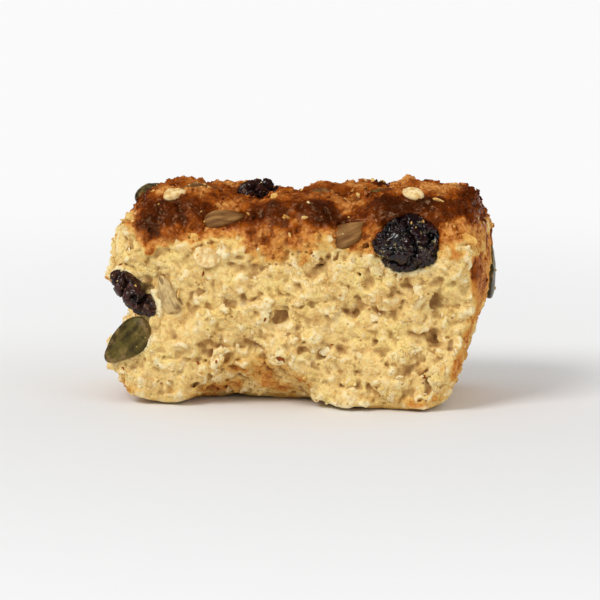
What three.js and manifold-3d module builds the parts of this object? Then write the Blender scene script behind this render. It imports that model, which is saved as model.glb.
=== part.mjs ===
// A muesli rusk: one finger of a tray-baked dough, broken off its neighbours and dried hard.
// The top is a browned crust that rose in lobes, the front, the back and the left end are broken
// crumb, the right end is the crust of the tray's side, and the underside is flat with the tray's
// shallow grooves. Pumpkin seeds, sunflower kernels and oat flakes are baked into it. The dried
// fruit and a piece of almond are separate pieces, each in a pocket of its own.
// Millimetres. +X runs along the finger, -Y is the broken front, +Z is up, and the origin is the
// centre of the underside.

import * as THREE from "three";
import { ImprovedNoise } from "three/addons/math/ImprovedNoise.js";
import { mergeVertices } from "three/addons/utils/BufferGeometryUtils.js";
import Module from "manifold-3d";

const wasm = await Module();
wasm.setup();

// ---- Driving dimensions ----

const LENGTH = 76;
const DEPTH = 34;
const SHOULDER = 37.5; // height of the block before the lobes of the top are added
// How far the rounding of the edges reaches in from the ends, from the broken faces beside the ends
// and beside the top, down from the top and up from the foot
const ROUND = { left: 12, right: 3, corner: 3.5, brow: 6.5, top: 11, foot: 3.5 };
const STEPS = { x: 37, y: 18, z: 21 }; // faces of the surface's grid along each side

// The lobes of the risen top: centre, reach along and across the rusk, and height over the shoulder
const LOBES = [
  { x: -22.5, y: -4, along: 18, across: 19, rise: 4.8 },
  { x: -14, y: 11, along: 18, across: 12, rise: 4.2 },
  { x: 1, y: -8, along: 15, across: 15, rise: 4.6 },
  { x: 10, y: 10, along: 15, across: 12, rise: 5 },
  { x: 27, y: -3, along: 19, across: 22, rise: 6 },
];
const LOBE_WARP = { size: 13, reach: 6 }; // how far the lobes' outlines wander
const LOBE_EDGE = 1.6; // above 1 the lobes are flat on top and steep at their edge
const CRACK_DEPTH = 2; // the deepest that the ground between two lobes lies under the shoulder
const RISE_FROM = 16; // the dough below this height is as flat as the tray

// The ends draw in towards the foot, below a height and by an amount
const RIGHT_TAPER = { height: 25, inset: 8 };
const LEFT_TAPER = { height: 16, inset: 5 };
const TAPER_CURVE = 1.4;
// Torn out of the left end, further up than down. It thins to a share of its depth at the back
const NOTCH = { x: -37, z: 18, reach: 12, up: 10, down: 7, depth: 8.5, back_share: 0.3 };
const ARCH = { x: -7, core: 4, reach: 17, back: 13, height: 8.5 }; // hollow under the front edge
const TRAY_GROOVES = { at: [-12, 13], half_width: 3, depth: 0.9 };

// The lumps of a surface: how wide the widest are, how far they stand out, and how much of that
// height each next octave, of half the width, keeps
const CRUMB_LUMPS = { size: 12, height: 2.4, keep: 0.62, octaves: 3, shift: 4.7 };
const CRUST_LUMPS = { size: 7, height: 1.5, keep: 0.6, octaves: 2, shift: 9.3 };
const OVERHANG = { height: 31, fade: 3, out: 1 }; // the crust stands proud of the crumb below
const TRAY_SIDE_SHARE = 0.4; // the tray's side pressed the lumps of the right end flat

// Where the surface counts as the top, the underside or the right end: its normal's share that way,
// from not at all to wholly
const FACING = { top: [0.15, 0.75], under: [0.5, 0.9], end: [0.5, 0.9] };

// Torn cavities of the broken faces: where they lie, their radius and their depth
const CAVITIES = [
  { at: [-1, -17, 19], radius: 3.6, depth: 2.2 },
  { at: [13, -17, 21], radius: 3.4, depth: 1.8 },
  { at: [23, -17, 24.5], radius: 3.6, depth: 2 },
  { at: [29, -16, 15], radius: 3.4, depth: 2 },
  { at: [-13, -17, 17], radius: 4, depth: 2.2 },
  { at: [-18, -17, 8], radius: 3.6, depth: 1.8 },
  { at: [-30, -15, 30], radius: 3.2, depth: 2 },
  { at: [-22, 17, 25], radius: 5, depth: 3 },
  { at: [3, 17, 11], radius: 4.5, depth: 2.4 },
  { at: [14, 17, 28], radius: 4.2, depth: 2.6 },
  { at: [30, 16, 17], radius: 4, depth: 2.2 },
  { at: [-37, 7, 26], radius: 4.5, depth: 2.6 },
  { at: [-35, 5, 9], radius: 4, depth: 2 },
];

const PUMPKIN_SEED = { length: 12, width: 6.6, thick: 2.8, point: 0.3, around: 10, rings: 6 };
const SUNFLOWER_SEED = { length: 8.6, width: 4.2, thick: 2.5, point: 0.42, around: 8, rings: 5 };
const OAT_FLAKE = { length: 5.4, width: 3.8, thick: 1.7, point: 0, around: 8, rings: 4 };
const SEED_SUNK = 0.3; // a seed's middle lies this far under the surface
const FOLDS = { size: 1.1, along: 0.8, across: 2 }; // creases of a shrivelled fruit, in its radii
const POCKET_GAP = 0.35; // left free round every piece of fruit

// ---- Smooth noise and helpers ----

const noise = new ImprovedNoise();
const smooth = THREE.MathUtils.smoothstep;
const rad = THREE.MathUtils.degToRad;

// Noise in octaves, each of half the size of the one before, times the height of the first
function lumps(p, { size, height, keep, octaves, shift }) {
  let sum = 0;
  for (let i = 0; i < octaves; i++) {
    const scale = 2 ** i / size;
    sum += keep ** i * noise.noise(p.x * scale + shift, p.y * scale + shift, p.z * scale - shift);
  }
  return height * sum;
}

// 1 in the core of a round spot, falling smoothly to 0 at its radius
function spot(distance, radius, core = 0) {
  return 1 - smooth(distance, core, radius);
}

// ---- The baked block ----

// Height of the risen top over the shoulder: the highest lobe at that place, or the crack's floor
function rise(x, y) {
  const { size, reach } = LOBE_WARP;
  const along = x + reach * noise.noise(x / size, y / size, 0.5);
  const across = y + reach * noise.noise(x / size, y / size, 7.5);
  let top = -CRACK_DEPTH;
  for (const lobe of LOBES) {
    const away = ((along - lobe.x) / lobe.along) ** 2 + ((across - lobe.y) / lobe.across) ** 2;
    top = Math.max(top, lobe.rise - (lobe.rise + CRACK_DEPTH) * away ** LOBE_EDGE);
  }
  return top;
}

// Moves a point of the plain box onto a block whose edges are rounded by a different amount each way
function roundEdges(p) {
  const upper = smooth(p.z, SHOULDER - 2 * ROUND.top, SHOULDER);
  const face_round = THREE.MathUtils.lerp(ROUND.corner, ROUND.brow, upper);
  const inner = {
    x: THREE.MathUtils.clamp(p.x, ROUND.left - LENGTH / 2, LENGTH / 2 - ROUND.right),
    y: THREE.MathUtils.clamp(p.y, face_round - DEPTH / 2, DEPTH / 2 - face_round),
    z: THREE.MathUtils.clamp(p.z, ROUND.foot, SHOULDER - ROUND.top),
  };
  const end_round = p.x < 0 ? ROUND.left : ROUND.right;
  const height_round = p.z > inner.z ? ROUND.top : ROUND.foot;
  const reach = new THREE.Vector3(end_round, face_round, height_round);
  const out = new THREE.Vector3().copy(p).sub(inner).divide(reach);
  const longest = Math.max(Math.abs(out.x), Math.abs(out.y), Math.abs(out.z));
  out.multiplyScalar(longest / out.length()).multiply(reach);
  p.copy(inner).add(out);
}

// The tapers, the notch of the left end, the arch under the front and the lobes of the top
function bake(p) {
  const height = p.z;
  const end = smooth(Math.abs(p.x), LENGTH / 8, LENGTH / 2);
  const taper = p.x > 0 ? RIGHT_TAPER : LEFT_TAPER;
  const draw = taper.inset * Math.max(0, 1 - height / taper.height) ** TAPER_CURVE;
  p.x -= Math.sign(p.x) * draw * end;

  const from_notch = height - NOTCH.z;
  const tall = spot(Math.abs(from_notch), from_notch > 0 ? NOTCH.up : NOTCH.down);
  const torn = tall * spot(Math.abs(p.x - NOTCH.x), NOTCH.reach);
  const back = smooth(p.y, -DEPTH / 4, DEPTH / 2);
  p.x += NOTCH.depth * torn * THREE.MathUtils.lerp(1, NOTCH.back_share, back);

  const under = spot(height, SHOULDER / 2) * spot(Math.abs(p.x - ARCH.x), ARCH.reach, ARCH.core);
  p.z += ARCH.height * under * spot(p.y + DEPTH / 2, ARCH.back);

  p.z += rise(p.x, p.y) * smooth(height, RISE_FROM, SHOULDER);
  const lip = smooth(height, OVERHANG.height - OVERHANG.fade, OVERHANG.height);
  p.y += Math.sign(p.y) * OVERHANG.out * lip * smooth(Math.abs(p.y), 0, DEPTH / 2);
}

// How far the surface stands out of the smooth block, by what that stretch of it is
function relief(p, normal) {
  const up = smooth(normal.z, ...FACING.top);
  const down = smooth(-normal.z, ...FACING.under);
  const end = smooth(normal.x, ...FACING.end);
  let out = THREE.MathUtils.lerp(lumps(p, CRUMB_LUMPS), lumps(p, CRUST_LUMPS), up);
  out *= THREE.MathUtils.lerp(1, TRAY_SIDE_SHARE, end);
  for (const hole of CAVITIES) {
    const [x, y, z] = hole.at;
    out -= hole.depth * spot(Math.hypot(p.x - x, p.y - y, p.z - z), hole.radius);
  }
  return out * (1 - down);
}

function grooveUnder(p) {
  const { at, half_width, depth } = TRAY_GROOVES;
  return at.reduce((sum, x) => sum + depth * spot(Math.abs(p.x - x), half_width), 0);
}

function blockGeometry() {
  const box = new THREE.BoxGeometry(LENGTH, DEPTH, SHOULDER, STEPS.x, STEPS.y, STEPS.z);
  box.translate(0, 0, SHOULDER / 2);
  box.deleteAttribute("normal");
  box.deleteAttribute("uv");
  const block = mergeVertices(box, 1e-3);
  const place = block.getAttribute("position");
  const p = new THREE.Vector3();
  for (let i = 0; i < place.count; i++) {
    p.fromBufferAttribute(place, i);
    roundEdges(p);
    bake(p);
    place.setXYZ(i, p.x, p.y, p.z);
  }
  block.computeVertexNormals();
  const normals = block.getAttribute("normal");
  const normal = new THREE.Vector3();
  for (let i = 0; i < place.count; i++) {
    p.fromBufferAttribute(place, i);
    normal.fromBufferAttribute(normals, i);
    p.addScaledVector(normal, relief(p, normal));
    p.z = Math.max(p.z, 0) + grooveUnder(p) * smooth(-normal.z, ...FACING.under);
    place.setXYZ(i, p.x, p.y, p.z);
  }
  block.deleteAttribute("normal");
  return block;
}

// ---- Seeds, fruit and nut ----

const block = new THREE.Mesh(blockGeometry());

// Turns a shape that lies flat and seats it in the block. spin turns it in its own plane, tilt raises
// the side that faces up until at 90 degrees it faces the front, and azimuth turns it about the
// upright axis. It then moves along the way it faces until its centre is sunk below the surface.
function seating({ at, azimuth = 0, tilt = 0, spin = 0, sunk }) {
  const turn = new THREE.Matrix4()
    .makeRotationZ(rad(azimuth))
    .multiply(new THREE.Matrix4().makeRotationX(rad(tilt)))
    .multiply(new THREE.Matrix4().makeRotationZ(rad(spin)));
  const facing = new THREE.Vector3(0, 0, 1).transformDirection(turn);
  const outside = new THREE.Vector3(...at).addScaledVector(facing, LENGTH);
  const [hit] = new THREE.Raycaster(outside, facing.clone().negate()).intersectObject(block);
  return turn.setPosition(hit.point.addScaledVector(facing, -sunk));
}

// A flat seed, round at one end and pointed at the other
function seedGeometry({ length, width, thick, point, around, rings }) {
  const seed = new THREE.SphereGeometry(1, around, rings).rotateZ(Math.PI / 2);
  const place = seed.getAttribute("position");
  for (let i = 0; i < place.count; i++) {
    const narrow = 1 - point * place.getX(i);
    place.setXYZ(
      i,
      (place.getX(i) * length) / 2,
      (place.getY(i) * narrow * width) / 2,
      (place.getZ(i) * narrow * thick) / 2,
    );
  }
  return seed;
}

// A shrivelled fruit or a broken nut: a rounded body with folds that run along it
function fruitGeometry({ size, folds, shift, detail = 2 }, grow = 0) {
  const fruit = new THREE.IcosahedronGeometry(1, detail);
  const place = fruit.getAttribute("position");
  const p = new THREE.Vector3();
  for (let i = 0; i < place.count; i++) {
    p.fromBufferAttribute(place, i);
    const along = new THREE.Vector3(p.x * FOLDS.along, p.y * FOLDS.across, p.z * FOLDS.across);
    p.multiplyScalar(1 + lumps(along, { size: FOLDS.size, height: folds, keep: 0.5, octaves: 2, shift }));
    place.setXYZ(
      i,
      p.x * (size[0] / 2 + grow),
      p.y * (size[1] / 2 + grow),
      p.z * (size[2] / 2 + grow),
    );
  }
  return fruit;
}

const SEEDS = [
  // the front
  { shape: SUNFLOWER_SEED, at: [12, -17, 36.3], tilt: 74, spin: 28 },
  { shape: SUNFLOWER_SEED, at: [-13.5, -15, 39], tilt: 45, spin: 10 },
  { shape: SUNFLOWER_SEED, at: [-24.8, -17, 22.6], tilt: 90, spin: 112 },
  { shape: PUMPKIN_SEED, at: [-33.3, -15, 12.8], azimuth: -22, tilt: 80, spin: 223 },
  { shape: OAT_FLAKE, at: [-16.5, -16, 30.5], tilt: 80, spin: -8 },
  // the top
  { shape: PUMPKIN_SEED, at: [-31, 6, 38], tilt: 12, azimuth: 20, spin: 70 },
  { shape: SUNFLOWER_SEED, at: [-20, -3, 38], tilt: 4, spin: 35 },
  { shape: SUNFLOWER_SEED, at: [5, -2, 38], tilt: 8, spin: 120 },
  { shape: PUMPKIN_SEED, at: [17, 2, 40], tilt: 6, spin: 160 },
  { shape: SUNFLOWER_SEED, at: [31, 3, 41], tilt: -8, spin: 60 },
  { shape: SUNFLOWER_SEED, at: [-22, 13, 37], tilt: -35, spin: 150 },
  { shape: OAT_FLAKE, at: [-24, -9, 38], tilt: 12, spin: 40 },
  { shape: OAT_FLAKE, at: [24, -9, 38], tilt: 18, spin: 130 },
  // the back
  { shape: PUMPKIN_SEED, at: [22, 17, 22], azimuth: 180, tilt: 90, spin: 40 },
  { shape: PUMPKIN_SEED, at: [-10, 17, 19], azimuth: 180, tilt: 90, spin: 155 },
  { shape: SUNFLOWER_SEED, at: [-28, 17, 12], azimuth: 180, tilt: 90, spin: 80 },
  { shape: SUNFLOWER_SEED, at: [7, 16, 30], azimuth: 180, tilt: 75, spin: 20 },
  { shape: OAT_FLAKE, at: [15, 17, 9], azimuth: 180, tilt: 90, spin: 60 },
  // the ends
  { shape: PUMPKIN_SEED, at: [36, 8, 25], azimuth: 90, tilt: 90, spin: 60 },
  { shape: SUNFLOWER_SEED, at: [-35, 2, 31], azimuth: -90, tilt: 70, spin: 130 },
];

const FRUIT = [
  {
    name: "berry_front",
    color: 0x1d1210,
    size: [14, 10.8, 9.5],
    folds: 0.18,
    shift: 2.1,
    detail: 3,
    at: [23.5, -16, 34.2],
    tilt: 68,
    spin: 8,
    sunk: 1.7,
  },
  {
    name: "raisin_left_end",
    color: 0x22100e,
    size: [12, 4.8, 5.6],
    folds: 0.22,
    shift: 5.3,
    at: [-31.6, -15, 22.5],
    azimuth: -15,
    tilt: 85,
    spin: -40,
    sunk: -1.6,
  },
  {
    name: "raisin_top_left",
    color: 0x22100e,
    size: [10, 6.4, 5],
    folds: 0.2,
    shift: 7.9,
    at: [-9, 3, 38],
    tilt: 5,
    spin: 60,
    sunk: 0.8,
  },
  {
    name: "cranberry_top_right",
    color: 0x4a1712,
    size: [11, 6.6, 5],
    folds: 0.18,
    shift: 3.7,
    at: [20, 12, 39],
    tilt: -18,
    spin: 20,
    sunk: 0.8,
  },
  {
    name: "raisin_back",
    color: 0x22100e,
    size: [9.6, 7.6, 6],
    folds: 0.19,
    shift: 6.1,
    at: [3, 16, 20.5],
    azimuth: 180,
    tilt: 90,
    spin: 25,
    sunk: 1.2,
  },
  {
    name: "cranberry_back",
    color: 0x4a1712,
    size: [8.6, 5.6, 5],
    folds: 0.2,
    shift: 1.3,
    at: [-24, 16, 30],
    azimuth: 180,
    tilt: 80,
    spin: -30,
    sunk: 0.8,
  },
  {
    name: "almond_back",
    color: 0xe6d6ae,
    size: [11.5, 7, 5],
    folds: 0.1,
    shift: 8.4,
    at: [-18, 17, 11],
    azimuth: 180,
    tilt: 90,
    spin: 115,
    sunk: 0.9,
  },
];

// ---- Joining and cutting ----

function solidOf(geometry) {
  const bare = geometry.clone();
  bare.deleteAttribute("normal");
  bare.deleteAttribute("uv");
  const merged = mergeVertices(bare, 1e-3);
  return new wasm.Manifold(
    new wasm.Mesh({
      numProp: 3,
      vertProperties: new Float32Array(merged.getAttribute("position").array),
      triVerts: new Uint32Array(merged.index.array),
    }),
  );
}

function geometryOf(solid) {
  const mesh = solid.getMesh();
  const geometry = new THREE.BufferGeometry();
  geometry.setAttribute("position", new THREE.BufferAttribute(mesh.vertProperties, 3));
  geometry.setIndex(new THREE.BufferAttribute(mesh.triVerts, 1));
  geometry.computeVertexNormals();
  return geometry;
}

let body = solidOf(block.geometry);
for (const seed of SEEDS) {
  const seat = seating({ ...seed, sunk: SEED_SUNK });
  body = body.add(solidOf(seedGeometry(seed.shape).applyMatrix4(seat)));
}
for (const piece of FRUIT) {
  const pocket = fruitGeometry(piece, POCKET_GAP).applyMatrix4(seating(piece));
  body = body.subtract(solidOf(pocket));
}

// ---- The object ----

const rusk = new THREE.Group();
const crumb = new THREE.Mesh(
  geometryOf(body),
  new THREE.MeshStandardMaterial({ color: 0xd9a860, roughness: 0.85, metalness: 0 }),
);
crumb.name = "rusk";
rusk.add(crumb);

for (const piece of FRUIT) {
  const fruit = new THREE.Mesh(
    geometryOf(solidOf(fruitGeometry(piece))),
    new THREE.MeshStandardMaterial({ color: piece.color, roughness: 0.45, metalness: 0 }),
  );
  fruit.name = piece.name;
  fruit.applyMatrix4(seating(piece));
  rusk.add(fruit);
}

// The origin is the centre of the underside
const reach = new THREE.Box3().setFromObject(rusk, true);
const centre = reach.getCenter(new THREE.Vector3());
rusk.position.set(-centre.x, -centre.y, -reach.min.z);

export default rusk;
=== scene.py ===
import functools
import itertools
import math
from concurrent.futures import ThreadPoolExecutor

import bmesh
import bpy
import numpy as np
import openvdb
from mathutils import Matrix, Vector


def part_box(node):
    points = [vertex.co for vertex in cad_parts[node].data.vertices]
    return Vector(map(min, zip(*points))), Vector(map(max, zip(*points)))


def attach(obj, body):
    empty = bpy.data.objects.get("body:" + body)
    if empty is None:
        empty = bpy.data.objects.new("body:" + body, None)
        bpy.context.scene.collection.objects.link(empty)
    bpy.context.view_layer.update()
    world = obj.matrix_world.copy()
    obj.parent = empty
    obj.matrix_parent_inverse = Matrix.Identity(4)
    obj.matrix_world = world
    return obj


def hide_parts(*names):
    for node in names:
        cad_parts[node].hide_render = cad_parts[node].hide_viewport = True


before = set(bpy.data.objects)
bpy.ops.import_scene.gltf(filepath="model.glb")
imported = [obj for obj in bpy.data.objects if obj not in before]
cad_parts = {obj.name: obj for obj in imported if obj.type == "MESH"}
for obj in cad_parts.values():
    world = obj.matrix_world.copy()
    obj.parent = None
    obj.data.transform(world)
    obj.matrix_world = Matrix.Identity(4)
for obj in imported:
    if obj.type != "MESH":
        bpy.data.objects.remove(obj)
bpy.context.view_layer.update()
MM = 0.001
BODY = "root"
rusk_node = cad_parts["rusk"]


# ---- Pumpkin seeds, sunflower kernels and oat flakes ----
# Hulled pumpkin seeds, sunflower kernels and rolled oats were stirred into the dough and baked with
# it. They lie flat where they break the surface, each sunk to about its middle.

RING_COUNT = 30  # rings of points along a seed
RING_POINTS = 40  # points round each ring
RIM_PLACE = 0.86  # where the raised rim runs, as a share of the half width
RIM_WIDTH = 0.1
SEAM_WIDTH = 0.16
LINE_START = 0.08  # a seed's line to the rusk starts this far out, in metres
SEED_APART = 50  # how far apart, in mm, seeds of a kind lie in the noise, so that no two are alike

PUMPKIN_SEEDS = [
    {"at": (-33.3, -15, 12.8), "azimuth": -22, "tilt": 80, "spin": 223},
    {"at": (-31, 6, 38), "azimuth": 20, "tilt": 12, "spin": 70},
    {"at": (17, 2, 40), "tilt": 6, "spin": 160},
    {"at": (22, 17, 22), "azimuth": 180, "tilt": 90, "spin": 40},
    {"at": (-10, 17, 19), "azimuth": 180, "tilt": 90, "spin": 155},
    {"at": (36, 8, 25), "azimuth": 90, "tilt": 90, "spin": 60},
]
SUNFLOWER_KERNELS = [
    {"at": (12, -17, 36.3), "tilt": 74, "spin": 28},
    {"at": (-13.5, -15, 39), "tilt": 45, "spin": 10},
    {"at": (-24.8, -17, 22.6), "tilt": 90, "spin": 112},
    {"at": (-20, -3, 38), "tilt": 4, "spin": 35},
    {"at": (5, -2, 38), "tilt": 8, "spin": 120},
    {"at": (31, 3, 41), "tilt": -8, "spin": 60},
    {"at": (-22, 13, 37), "tilt": -35, "spin": 150},
    {"at": (-28, 17, 12), "azimuth": 180, "tilt": 90, "spin": 80},
    {"at": (7, 16, 30), "azimuth": 180, "tilt": 75, "spin": 20},
    {"at": (-35, 2, 31), "azimuth": -90, "tilt": 70, "spin": 130},
]
OAT_FLAKES = [
    {"at": (-16.5, -16, 30.5), "tilt": 80, "spin": -8},
    {"at": (-24, -9, 38), "tilt": 12, "spin": 40},
    {"at": (24, -9, 38), "tilt": 18, "spin": 130},
    {"at": (15, 17, 9), "azimuth": 180, "tilt": 90, "spin": 60},
]

NOISE_TILE = 64  # the noise repeats after this many cells
NOISE_RANGE = 1.6  # corner values, which smoothing brings down to about -1 to 1


@functools.lru_cache(maxsize=None)
def noise_table(seed):
    """Random values at the corners of a block of cells, and the turn that hides the cells' rows."""
    random = np.random.default_rng(seed)
    turn = np.array(Matrix.Rotation(random.uniform(0, 3), 3, Vector(random.uniform(0.2, 1, 3))))
    table = random.uniform(-NOISE_RANGE, NOISE_RANGE, NOISE_TILE**3)
    return table.astype(np.float32), turn.astype(np.float32)


def swell(spots, size, seed):
    """Smooth noise from about -1 to 1 at each spot, with swells that are size wide.

    Each seed gives other noise, so every use below has a seed of its own.
    """
    table, turn = noise_table(seed)
    place = (turn @ spots.T.astype(np.float32)) / np.float32(size)
    cell = np.floor(place)
    part = place - cell
    part = part * part * (3 - 2 * part)
    cell = cell.astype(np.int32)
    total = 0
    for steps in itertools.product((0, 1), repeat=3):
        i, j, k = ((row + step) % NOISE_TILE for row, step in zip(cell, steps))
        weight = 1
        for share, step in zip(part, steps):
            weight = weight * (share if step else 1 - share)
        total = total + weight * table[(i * NOISE_TILE + j) * NOISE_TILE + k]
    return total


def ramp(values, start, end):
    """0 up to start, 1 from end, and smooth in between."""
    t = np.clip((values - start) / (end - start), 0, 1)
    return t * t * (3 - 2 * t)


def seat_of(seed, thick):
    """The matrix, in mm, that lays a seed on the rusk: its top is where its line meets the solid."""
    turn = (
        Matrix.Rotation(math.radians(seed.get("azimuth", 0)), 4, "Z")
        @ Matrix.Rotation(math.radians(seed["tilt"]), 4, "X")
        @ Matrix.Rotation(math.radians(seed["spin"]), 4, "Z")
    )
    facing = (turn @ Vector((0, 0, 1, 0))).to_3d()
    outside = Vector(seed["at"]) * MM + facing * LINE_START
    met, top, _, _ = rusk_node.ray_cast(outside, -facing)
    turn.translation = (top if met else Vector(seed["at"]) * MM) / MM - facing * thick / 2
    return turn


def seed_points(length, width, thick, point, rim=0.0, flat=1.0, seam=0.0):
    """Rings of points of a flat seed, round at one end and pointed at the other, and its faces."""
    along = np.linspace(0, math.pi, RING_COUNT)
    around = np.linspace(0, 2 * math.pi, RING_POINTS, endpoint=False)
    a, b = np.meshgrid(along, around, indexing="ij")
    x = np.cos(a)
    narrow = (1 - point * x) * np.sin(a)
    side = np.cos(b)
    up = np.sign(np.sin(b)) * np.abs(np.sin(b)) ** flat
    bead = 1 + rim * np.exp(-(((np.abs(side) - RIM_PLACE) / RIM_WIDTH) ** 2))
    bead -= seam * np.exp(-((side / SEAM_WIDTH) ** 2))
    sizes = (x * length / 2, side * narrow * width / 2, up * bead * narrow * thick / 2)
    points = np.stack(sizes, axis=-1).reshape(-1, 3)
    faces = []
    for i in range(RING_COUNT - 1):
        for j in range(RING_POINTS):
            k = (j + 1) % RING_POINTS
            row = i * RING_POINTS
            below = row + RING_POINTS
            faces.append((row + j, row + k, below + k, below + j))
    return points, faces


def keep_measure(piece, name, values):
    """Stores a value at each point of a piece, for its material to read."""
    measure = piece.data.attributes.new(name, "FLOAT", "POINT")
    measure.data.foreach_set("value", np.asarray(values, np.float32))


def mesh_object(name, points, faces, weld=True, **measures):
    """A smooth mesh object from points in mm, with a value at each point for every measure."""
    mesh = bpy.data.meshes.new(name)
    mesh.from_pydata((np.asarray(points) * MM).tolist(), [], faces)
    made = bpy.data.objects.new(name, mesh)
    bpy.context.scene.collection.objects.link(made)
    for measure, values in measures.items():
        keep_measure(made, measure, values)
    if weld:
        shape = bmesh.new()
        shape.from_mesh(mesh)
        bmesh.ops.remove_doubles(shape, verts=shape.verts, dist=1e-7)
        bmesh.ops.recalc_face_normals(shape, faces=shape.faces)
        shape.to_mesh(mesh)
        shape.free()
    mesh.shade_smooth()
    return made


def seeds_object(name, places, shape, uneven, creases):
    """All the seeds of one kind as one mesh. Each differs a little in size, bend and surface."""
    random = np.random.default_rng(len(name))
    points, faces = [], []
    measures = {"rim": [], "streak": [], "along": [], "across": []}
    for number, place in enumerate(places):
        ring, ring_faces = seed_points(**shape)
        ring *= random.uniform(0.93, 1.05)
        measures["along"].append((ring[:, 0] + SEED_APART * number) * MM)
        measures["across"].append(ring[:, 1] * MM)
        bend = random.uniform(-0.5, 0.5) * shape["thick"] * 0.3
        ring[:, 2] += bend * ((ring[:, 0] * 2 / shape["length"]) ** 2 - 0.5)
        spot = ring + SEED_APART * number
        streak = swell(spot * np.array([0.22, 1, 1]), 0.75, 6)
        measures["rim"].append(np.abs(ring[:, 1]) / np.abs(ring[:, 1]).max())
        measures["streak"].append(streak)
        dents = uneven * (swell(spot, 2.6, 3) + 0.5 * swell(spot, 1.1, 4)) + creases * streak
        ring[:, 2] += dents * np.sign(ring[:, 2]) * ramp(np.abs(ring[:, 2]), 0.05, 0.4)
        ring[:, 1] += uneven * 1.4 * swell(spot, 2.8, 5)
        seat = np.array(seat_of(place, shape["thick"]))
        start = sum(len(p) for p in points)
        points.append(ring @ seat[:3, :3].T + seat[:3, 3])
        faces += [tuple(start + v for v in face) for face in ring_faces]
    measures = {measure: np.concatenate(values) for measure, values in measures.items()}
    return mesh_object(name, np.concatenate(points), faces, **measures)


def linear(red, green, blue):
    """A colour given as it shows on a screen, from 0 to 255, as the shader takes it."""
    shares = [c / 255 for c in (red, green, blue)]
    return [c / 12.92 if c <= 0.04045 else ((c + 0.055) / 1.055) ** 2.4 for c in shares] + [1]


class Paint:
    """A material and short calls for the nodes that the rusk's materials need. Sizes are in mm."""

    def __init__(self, name):
        self.material = bpy.data.materials.new(name)
        self.material.use_nodes = True
        self.nodes = self.material.node_tree.nodes
        self.links = self.material.node_tree.links
        self.shader = self.nodes["Principled BSDF"]
        self.place = self.nodes.new("ShaderNodeTexCoord").outputs["Object"]

    def put(self, value, socket):
        """Gives a socket a value, or links it to another socket."""
        if isinstance(value, bpy.types.NodeSocket):
            self.links.new(value, socket)
        else:
            socket.default_value = value

    def noise(self, size, detail=2, roughness=0.5, place=None):
        """Cloudy noise from 0 to 1, with clouds of about that size."""
        node = self.nodes.new("ShaderNodeTexNoise")
        node.inputs["Scale"].default_value = 1 / (size * MM)
        node.inputs["Detail"].default_value = detail
        node.inputs["Roughness"].default_value = roughness
        self.links.new(place or self.place, node.inputs["Vector"])
        return node.outputs["Fac"]

    def cells(self, size):
        """How far it is to the middle of the nearest of many cells of that size."""
        node = self.nodes.new("ShaderNodeTexVoronoi")
        node.inputs["Scale"].default_value = 1 / (size * MM)
        self.links.new(self.place, node.inputs["Vector"])
        return node.outputs["Distance"]

    def measure(self, name):
        """What keep_measure stored on the piece under that name."""
        node = self.nodes.new("ShaderNodeAttribute")
        node.attribute_name = name
        return node.outputs["Fac"]

    def fibres(self, size, drawn_out):
        """Noise that is drawn out along each seed, as the fine lines of its skin are."""
        node = self.nodes.new("ShaderNodeCombineXYZ")
        self.links.new(self.math("MULTIPLY", self.measure("along"), 1 / drawn_out), node.inputs["X"])
        self.links.new(self.measure("across"), node.inputs["Y"])
        return self.noise(size, 3, 0.6, place=node.outputs["Vector"])

    def math(self, operation, a, b=0.0, clamp=False):
        """One operation on two numbers or sockets."""
        node = self.nodes.new("ShaderNodeMath")
        node.operation = operation
        node.use_clamp = clamp
        self.put(a, node.inputs[0])
        self.put(b, node.inputs[1])
        return node.outputs[0]

    def between(self, value, low, high, to_low=0.0, to_high=1.0):
        """A smooth step from to_low, where the value is low, to to_high, where it is high."""
        node = self.nodes.new("ShaderNodeMapRange")
        node.interpolation_type = "SMOOTHSTEP"
        self.links.new(value, node.inputs["Value"])
        node.inputs["From Min"].default_value = low
        node.inputs["From Max"].default_value = high
        node.inputs["To Min"].default_value = to_low
        node.inputs["To Max"].default_value = to_high
        return node.outputs["Result"]

    def mix(self, share, a, b, how="MIX"):
        """Colour a with that share of colour b."""
        node = self.nodes.new("ShaderNodeMix")
        node.data_type = "RGBA"
        node.blend_type = how
        self.put(share, node.inputs["Factor"])
        self.put(a, node.inputs["A"])
        self.put(b, node.inputs["B"])
        return node.outputs["Result"]

    def shades(self, value, stops):
        """The colour that a row of colours has at a value."""
        node = self.nodes.new("ShaderNodeValToRGB")
        marks = node.color_ramp.elements
        while len(marks) < len(stops):
            marks.new(0.5)
        for mark, (position, colour) in zip(marks, stops):
            mark.position = position
            mark.color = linear(*colour)
        self.links.new(value, node.inputs["Fac"])
        return node.outputs["Color"]

    def bump(self, height, depth):
        """Fine relief, where a height of 1 stands out by that depth."""
        node = self.nodes.new("ShaderNodeBump")
        node.inputs["Distance"].default_value = depth * MM
        self.links.new(height, node.inputs["Height"])
        self.links.new(node.outputs["Normal"], self.shader.inputs["Normal"])

    def finish(self, colour, roughness, **sockets):
        """Sets the colour, the roughness and any other sockets of the shader."""
        self.put(colour, self.shader.inputs["Base Color"])
        self.put(roughness, self.shader.inputs["Roughness"])
        for name, value in sockets.items():
            self.put(value, self.shader.inputs[name.replace("_", " ")])
        return self.material


PUMPKIN_SHAPE = {"length": 12, "width": 6.6, "thick": 2.8, "point": 0.3, "rim": 0.25, "flat": 0.8}
PUMPKIN_GREEN = (100, 86, 36)
PUMPKIN_DARK = (48, 38, 14)
PUMPKIN_EDGE = (24, 18, 8)
PUMPKIN_BLOOM = (152, 120, 74)  # the dry papery skin that dulls parts of the seed
SEED_GLOSS = {"Specular_IOR_Level": 0.3, "Specular_Tint": (1.0, 0.86, 0.62, 1)}

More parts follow.
